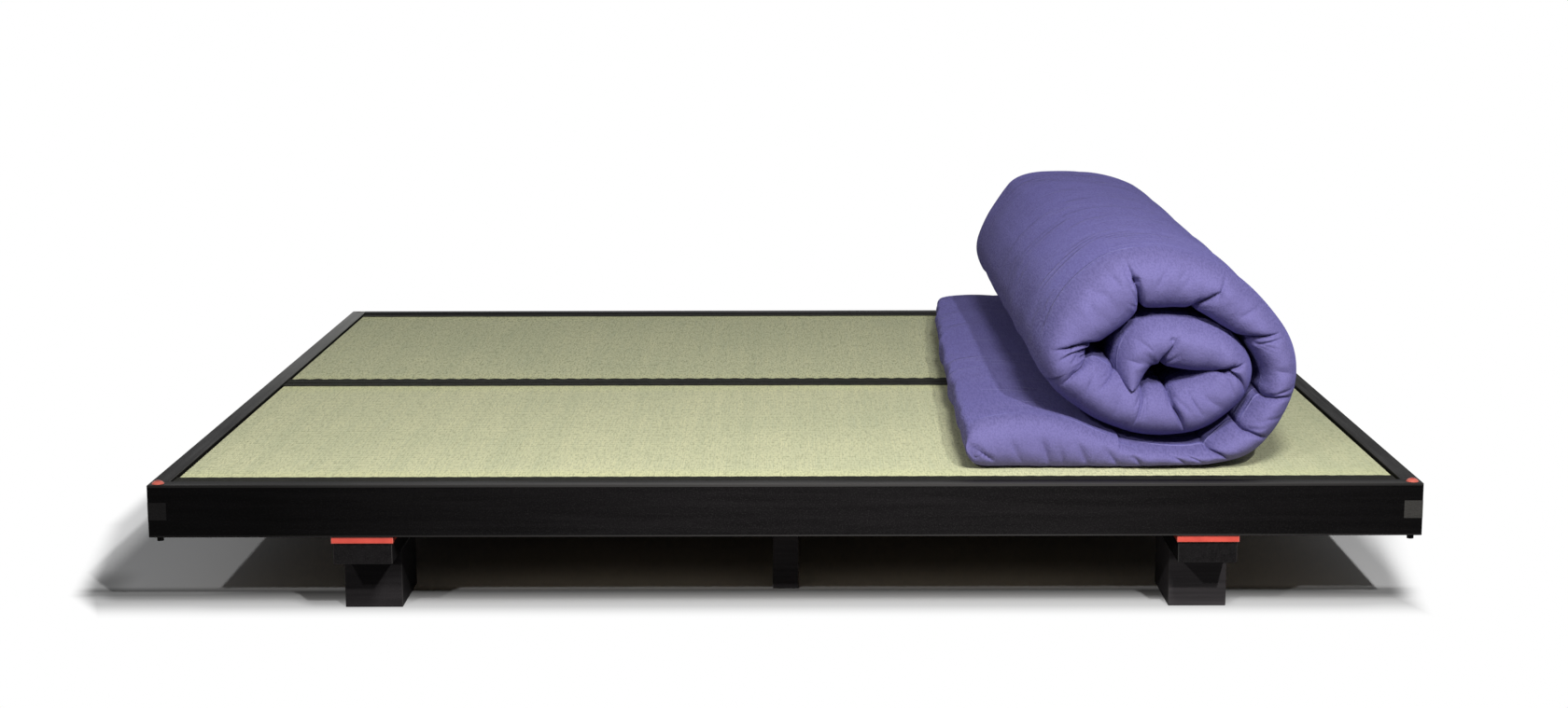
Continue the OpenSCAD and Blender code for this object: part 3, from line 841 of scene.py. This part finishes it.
# columns stand closer together where a pleat or its puckers cross them
probe_step = 0.0005
wide_apart, close_up = 0.0052, 0.0014
more_stations, more_run = 0.18, 0.006
probe = np.arange(start_d[-1] + 0.004, whole_run - tip_d[-1], probe_step)
closeness = np.full(len(probe), 1 / wide_apart)
for foot, gone in [p[:2] for p in pleats] + [(f[0], f[2]) for f in loose_folds]:
    first, final = station_to_run([min(foot, gone) - more_stations, max(foot, gone) + more_stations])
    closeness[(probe > first - more_run) & (probe < final + more_run)] = 1 / close_up
tally = np.cumsum(closeness) * probe_step
middle_s = np.interp(np.arange(1, int(tally[-1])), tally, probe)
along = np.concatenate([start_d, middle_s, whole_run - tip_d[::-1]])
end_share = np.concatenate([start_share, np.ones(len(middle_s)), tip_share[::-1]])
line_x, line_z, thick, station = (np.interp(along, run, fine[:, k]) for k in range(4))

# direction, and how far the inside can swell before it would fold over itself
turn_x, turn_z = np.gradient(line_x, along), np.gradient(line_z, along)
size = np.hypot(turn_x, turn_z)
turn_x, turn_z = turn_x / size, turn_z / size
heading = np.unwrap(np.arctan2(turn_z, turn_x))
even = np.arange(0.0, whole_run, 0.004)
blur = np.hanning(13) / np.hanning(13).sum()


def blurred(values):
    return np.convolve(np.pad(values, len(blur) // 2, mode="edge"), blur, mode="valid")


turning = blurred(np.gradient(np.interp(even, along, heading), even))
room = blurred(np.minimum(np.interp(even, run, fine[:, 2]) / 2, 0.90 / np.maximum(turning, 1e-3)))
inner_half = np.interp(along, even, room)
outer_half = thick / 2
for begin, end, height in swells:
    share = np.clip((station - begin) / (end - begin), 0.0, 1.0)
    inner_half = inner_half + height * mm * np.sin(math.pi * share) ** 0.7

# rows from the front end to the rear end, closer together at both
futon_low, futon_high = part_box("futon")
mat_face = futon_low.z + 0.0003
bulge = 0.058              # how far the rounding of both ends reaches in
front_y = futon_low.y - 0.014
rear_y = futon_high.y + 0.008
span = rear_y - front_y
first_gap, growth, widest_gap = 0.004, 1.07, 0.022
cap_d, _ = end_rounding(bulge, 18, 2.1)
near = bulge + np.cumsum(np.minimum(first_gap * growth ** np.arange(44), widest_gap))
near = near[near < span / 2 - 0.006]
half_back = np.concatenate([cap_d, near])
back = np.concatenate([half_back, [span / 2], span - half_back[::-1]])


def soft_noise(a, b, c, scale):
    """Smooth noise from -1 to 1 at arrays of places."""
    flat = np.stack(np.broadcast_arrays(a, b, c), -1).reshape(-1, 3) * scale
    return np.array([noise.noise(Vector(p)) for p in flat]).reshape(np.broadcast(a, b, c).shape)


def past_station(begin, length):
    """0 as far as a station, rising to 1 over a number of stations."""
    return np.clip((station - begin) / length, 0.0, 1.0)[:, None]


def rounded_share(side, from_end):
    """The share of its thickness that the mattress has at each point, 0 at its edges."""
    # boxy on the flat part, and softer round the outside of the roll
    flat_reach, flat_power = 0.050, 2.3
    roll_reach, roll_power = (bulge, 2.1) if side > 0 else (0.084, 2.0)
    rolled = past_station(5.5, 4)
    reach = flat_reach + (roll_reach - flat_reach) * rolled
    power = flat_power + (roll_power - flat_power) * rolled
    left = 1 - np.clip(from_end / reach, 0.0, 1.0)
    return end_share[:, None] * (1 - left ** power) ** (1 / power)


def crease(through, s, depth, foot, gone, reach, seed):
    """How far each point is from a pleat's line, in metres, and the pleat's strength there."""
    into = np.clip((through - (1 - reach)) / reach, 0.0, 1.0)
    line = station_to_run(gone + (foot - gone) * into)
    line = line + 0.0035 * soft_noise(through * 2.2 + depth * 8, seed, 0.0, 1.0)
    return np.abs(s - line), np.clip(into / 0.5, 0.0, 1.0) ** 0.7


def fold_pleats(side, s, through, from_end, rear):
    """How far the pleats and their puckers fold both ends in, and how much they pinch."""
    fold, pinch = np.zeros_like(through), np.zeros_like(through)
    close = from_end < pleat_run
    for number, (foot, gone, reach, deep, wide) in enumerate(pleats):
        beside = np.abs(along - station_to_run((foot + gone) / 2)) < 0.12
        part = beside[:, None] & close
        level, at_s, at_end = through[part], s[part], from_end[part]
        at_s = at_s + np.where(rear[part], 0.012 * math.sin(5.1 * number + 1), 0.0)
        away, strength = crease(level, at_s, at_end, foot, gone, reach, 3.7 * number)
        narrow = np.exp(-away / pleat_line)
        soft = np.clip(1 - away / (wide * mm), 0.0, 1.0) ** 1.8
        fold[part] = np.maximum(fold[part], deep * mm * strength * (0.76 * narrow + 0.24 * soft))
        if side > 0:
            rounded = np.clip(1 - away / pinch_width, 0.0, 1.0) ** 2
            pinch[part] = np.maximum(pinch[part], reach * (0.20 * narrow + 0.20 * rounded))
        # short puckers that fan out on both sides of the pleat
        for turn in (-2, -1, 1, 2):
            lean = turn * (0.22 + 0.08 * math.sin(7.3 * number + turn))
            short = reach * (0.78 - 0.20 * abs(turn) + 0.16 * math.cos(4.1 * number + turn))
            away, strength = crease(
                level, at_s, at_end, foot + 0.3 * lean, gone + lean, short, 3.7 * number + turn
            )
            narrow = np.exp(-away / pucker_line)
            soft = np.clip(1 - away / pucker_width, 0.0, 1.0) ** 2
            small = pucker_depth * strength * (0.55 * narrow + 0.45 * soft)
            fold[part] = fold[part] + small / abs(turn) ** 0.5
    return fold, pinch


def fold_loosely(fold, s, through, rear):
    """Adds the pits and the loose folds, which only the front end has."""
    for place, level, deep in pits:
        off = (s - station_to_run(place)) ** 2 + ((through - level) * usual_thick) ** 2
        fold = fold + np.where(rear, 0.0, deep * mm * np.exp(-off / pit_radius ** 2))
    for begin, level, end, end_level, deep, wide in loose_folds:
        start = np.array([station_to_run(begin), level * usual_thick])
        reach = np.array([station_to_run(end), end_level * usual_thick]) - start
        off_s, off_t = s - start[0], through * usual_thick - start[1]
        passed = np.clip((off_s * reach[0] + off_t * reach[1]) / (reach @ reach), 0.0, 1.0)
        away = np.hypot(off_s - passed * reach[0], off_t - passed * reach[1])
        taper = np.sin(math.pi * (0.15 + 0.7 * passed))
        line = np.exp(-(away / (wide * fold_width)) ** fold_power)
        fold = fold + np.where(rear, 0.0, deep * fold_depth * taper * line)
    return fold


def puffed_half(side, share, pinch, s, depth, from_end):
    """The wadding's half thickness at each point, on one side of its middle."""
    half = (inner_half if side > 0 else outer_half)[:, None]
    fade = np.exp(-np.maximum(from_end - 0.02, 0.0) / 0.13)
    puffed = half * share * (1 - pinch * (0.15 + 0.85 * fade))
    puffed = puffed * (1 + 0.030 * soft_noise(s, depth, side, 7.0))
    # where two turns meet, a gap opens between them at both ends
    gap_width, gap_run = 0.0062, 0.12
    meets = (station > 6.0) if side > 0 else (station > 24.6)
    gap = gap_width * (1 + 0.7 * soft_noise(s, 0.0, 3.0, 16.0)) * np.exp(-from_end / gap_run)
    uneven = -0.0042 * soft_noise(s, depth, 8.0, 8.5)
    puffed = puffed - share * np.where(meets[:, None], gap, uneven)
    if side < 0:
        # the outside is fuller at the right, and towards the rear at the upper left
        fuller_right = 4.5 * np.exp(-((station - 13.4) / 1.6) ** 2)[:, None]
        towards_rear = 15.0 * np.clip(depth / span, 0.0, 1.0) ** 3
        fuller_left = towards_rear * np.exp(-((station - 20.6) / 0.75) ** 2)[:, None]
        puffed = puffed + share * mm * (fuller_right + fuller_left)
    return puffed


def lean_rearward(x, z, depth):
    """The rear end is a little wider, stands further right, and sinks."""
    shift, widen, wide_from, loose_shift = 0.009, 0.085, 0.47, 0.022
    sink, loose_sink = 0.040, 0.25
    held_up, held_from, held_over = 0.016, 0.66, 0.12
    rearward = depth / span
    rolled = past_station(8.5, 3)
    loose = np.clip((7.0 - station) / 4, 0.0, 1.0)[:, None]
    x = x + rearward * rolled * (shift + widen * np.maximum(x - wide_from, 0.0))
    x = x + (rearward + rearward ** 3) * (1 - rolled) * loose_shift
    z = z * (1 - sink * rearward * rolled) * (1 - loose_sink * rearward * loose)
    z = z + held_up * rearward * rolled * np.clip((x - held_from) / held_over, 0.0, 1.0)
    return x, z


def mattress_face(side):
    """One face of the mattress, as rows of points: side is 1 inside the roll, -1 outside."""
    s, depth = np.meshgrid(along, back, indexing="ij")
    from_end = np.minimum(depth, span - depth)
    rear = depth > span / 2
    share = rounded_share(side, from_end)
    through = 0.5 + 0.5 * side * share
    fold, pinch = fold_pleats(side, s, through, from_end, rear)
    fold = fold_loosely(fold, s, through, rear)
    puffed = puffed_half(side, share, pinch, s, depth, from_end)
    x = line_x[:, None] - turn_z[:, None] * side * puffed
    z = line_z[:, None] + turn_x[:, None] * side * puffed
    x, z = lean_rearward(x, z, depth)
    # the loose end's edge runs unevenly from front to rear
    ragged = 0.008 * soft_noise(0.0, depth, 1.5, 9.0)
    ragged = ragged + 0.0045 * soft_noise(through * 0.05, depth, 4.5, 31.0)
    x = x + np.clip(1 - s / 0.10, 0.0, 1.0) ** 1.5 * ragged
    # the folds draw both ends in, and small wrinkles of three sizes cover them
    fold_run, wrinkle_run = 0.06, 0.05
    inward = fold * np.exp(-from_end / fold_run)
    wrinkled = np.exp(-from_end / wrinkle_run)
    inward = inward + wrinkled * 0.0045 * soft_noise(s, through * 0.06, 5.0, 22.0)
    inward = inward + wrinkled * 0.0020 * soft_noise(s + 0.05 * through, 0.0, 9.0, 30.0)
    inward = inward + wrinkled * 0.0013 * soft_noise(s, through * 0.03, 9.0, 75.0)
    y = front_y + depth + np.where(rear, -inward, inward)
    z = np.maximum(z + futon_low.z, mat_face)
    return np.stack([x, y, z], -1)


def ridge_share(tree, place, level):
    """Thin ridges round the roll in short pieces, where the cover was pulled tight."""
    x, y, z = split_axes(tree, place)
    drift = add_math(tree, "MULTIPLY", add_noise(tree, place, 3.5, 0.0), 4.0)
    lane = add_math(tree, "ADD", add_math(tree, "MULTIPLY", y, 27.0), drift)
    lane_seed = add_math(tree, "MULTIPLY", add_math(tree, "FLOOR", lane), 1.73)
    lane_place = add_node(tree, "CombineXYZ", {0: x, 1: lane_seed, 2: z}).outputs[0]
    pieces = map_range(tree, add_noise(tree, lane_place, 6.5, 0.0), 0.52, 0.62)
    off_line = add_math(tree, "SUBTRACT", add_math(tree, "FRACT", lane), 0.5)
    line = map_range(tree, add_math(tree, "ABSOLUTE", off_line), 0.15, 0.0)
    return add_math(tree, "MULTIPLY", line, pieces, level)


def violet_cotton():
    finish, tree, shader = new_finish("mattress_cotton", 0.92, 0.10)
    shader.inputs["Sheen Weight"].default_value = 0.20
    shader.inputs["Sheen Roughness"].default_value = 0.5
    shader.inputs["Sheen Tint"].default_value = (0.36, 0.34, 1.0, 1.0)
    place = own_place(tree)
    cloud = add_noise(tree, place, 5.0, 4.0)
    lint = add_noise(tree, place, 900.0, 2.0)
    slub = add_noise(tree, place, 1.0, 3.0, (500.0, 40.0, 500.0))
    rumple = add_noise(tree, place, 34.0, 5.0)
    weave = add_noise(tree, place, 1.0, 1.0, (360.0, 45.0, 360.0))
    tone = mix_colour(tree, spread(tree, cloud), (0.128, 0.112, 0.268, 1), (0.147, 0.130, 0.297, 1))
    tone = mix_colour(tree, map_range(tree, lint, 0.5, 0.8, 0.0, 0.35), tone, (0.18, 0.165, 0.33, 1))
    tone = mix_colour(tree, map_range(tree, slub, 0.5, 0.75, 0.0, 0.3), tone, (0.080, 0.068, 0.175, 1))
    # the weave shows more on the faces that run round the roll than on its ends
    leftward, endward = split_axes(tree, add_node(tree, "NewGeometry").outputs["Normal"])[:2]
    endward = add_math(tree, "ABSOLUTE", endward)
    round_share = map_range(tree, map_range(tree, endward, 0.95, 0.15), 0.0, 1.0, 0.22, 0.46)
    threads = add_math(tree, "MULTIPLY", map_range(tree, weave, 0.42, 0.62), round_share)
    tone = mix_colour(tree, threads, tone, (0.066, 0.056, 0.150, 1))
    # coarser on the roll's left side, where the threads catch the light from beside
    coarse = add_noise(tree, place, 1.0, 1.0, (300.0, 80.0, 330.0))
    level = map_range(tree, endward, 0.30, 0.08)
    rough_side = add_math(tree, "MULTIPLY", level, map_range(tree, leftward, -0.45, -0.95), 0.40)
    for begin, end, thread in (
        (0.46, 0.60, (0.050, 0.043, 0.105, 1)), (0.52, 0.40, (0.230, 0.210, 0.400, 1)),
    ):
        shown = add_math(tree, "MULTIPLY", map_range(tree, coarse, begin, end), rough_side)
        tone = mix_colour(tree, shown, tone, thread)
    ridge = ridge_share(tree, place, level)
    # the ridges are painted paler too, a painted highlight along them
    tone = mix_colour(tree, add_math(tree, "MULTIPLY", ridge, 0.70), tone, (0.22, 0.205, 0.41, 1))
    coat(tree, shader, tone)
    height = add_math(
        tree, "ADD", *(
            add_math(tree, "MULTIPLY", part, amount)
            for part, amount in ((rumple, 2.2), (lint, 0.6), (slub, 0.5), (weave, -0.7), (ridge, 3.4))
        )
    )
    add_bump(tree, shader, height, 0.0010)
    return finish


inside, outside = mattress_face(1), mattress_face(-1)
columns, rows = inside.shape[:2]
points = np.concatenate([inside.reshape(-1, 3), outside.reshape(-1, 3)])
faces = grid_faces(columns, rows) + grid_faces(columns, rows, columns * rows, True)
mattress = make_piece("rolled_mattress", points, faces, violet_cotton(), "mattress")
# the two faces meet at the mattress's edges, where their points become one
shell = bmesh.new()
shell.from_mesh(mattress.data)
bmesh.ops.remove_doubles(shell, verts=shell.verts, dist=0.00002)
bmesh.ops.recalc_face_normals(shell, faces=shell.faces)
shell.to_mesh(mattress.data)
shell.free()
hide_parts("futon")
